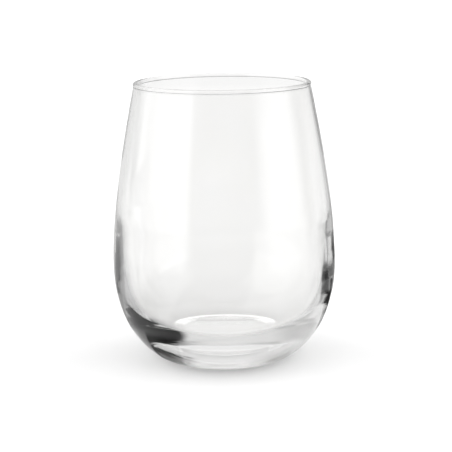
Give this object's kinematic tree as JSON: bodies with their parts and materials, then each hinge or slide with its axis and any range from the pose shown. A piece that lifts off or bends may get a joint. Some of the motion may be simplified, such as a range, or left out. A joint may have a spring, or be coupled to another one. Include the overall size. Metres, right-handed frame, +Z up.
{
  "type": "water glass",
  "caption": "Stemless water glass: a clear bowl, full low down and drawn in to a round fire-polished lip, on a thick rounded base with a flat standing ring.",
  "frame": {"origin": "on the table, at the middle of the foot", "axes": "+Z up along the axis of the glass; X and Y are free, because the glass is round"},
  "size_m": [0.088, 0.088, 0.11],
  "materials": {
    "clear_glass": "clear, smooth, fire-polished"
  },
  "bodies": {
    "root": {"tumbler": "clear_glass"}
  },
  "joints": []
}
